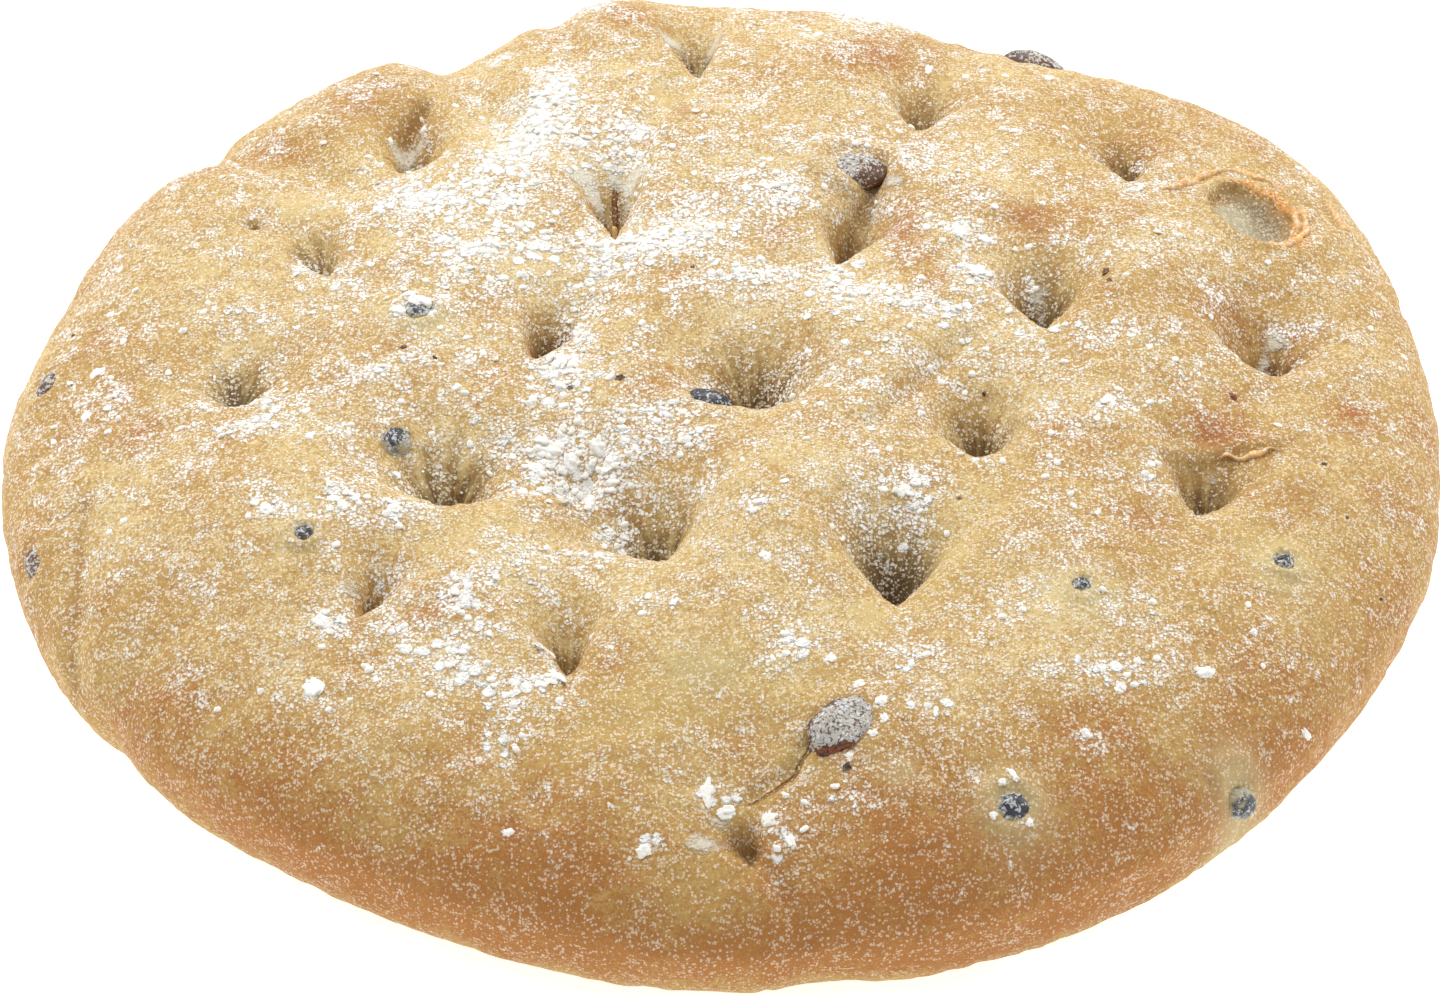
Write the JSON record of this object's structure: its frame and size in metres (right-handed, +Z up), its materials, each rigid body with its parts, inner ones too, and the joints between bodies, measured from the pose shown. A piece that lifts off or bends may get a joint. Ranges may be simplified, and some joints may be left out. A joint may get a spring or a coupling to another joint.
{
  "type": "focaccia",
  "caption": "Round flat loaf of olive focaccia with fingertip pits, soft folds, a burst blister and olive pieces showing in its floured crust.",
  "frame": {"origin": "middle of the loaf's bounding box, on its flat base", "axes": "+Z up, at right angles to the flat base; +X to the right and -Y towards the eye in the reference picture"},
  "size_m": [0.213, 0.2091, 0.0354],
  "materials": {
    "crust": "dry baked crust, golden to brown, dusted with flour",
    "olive": "dark baked olive, satin where the flour is off it"
  },
  "bodies": {
    "root": {"focaccia_loaf": "crust", "olive_piece_01": "olive", "olive_piece_02": "olive", "olive_piece_03": "olive", "olive_piece_04": "olive", "olive_piece_05": "olive", "olive_piece_06": "olive", "olive_piece_07": "olive", "olive_piece_08": "olive", "olive_piece_09": "olive", "olive_piece_10": "olive", "olive_piece_11": "olive", "olive_piece_12": "olive", "olive_piece_13": "olive"}
  },
  "joints": []
}
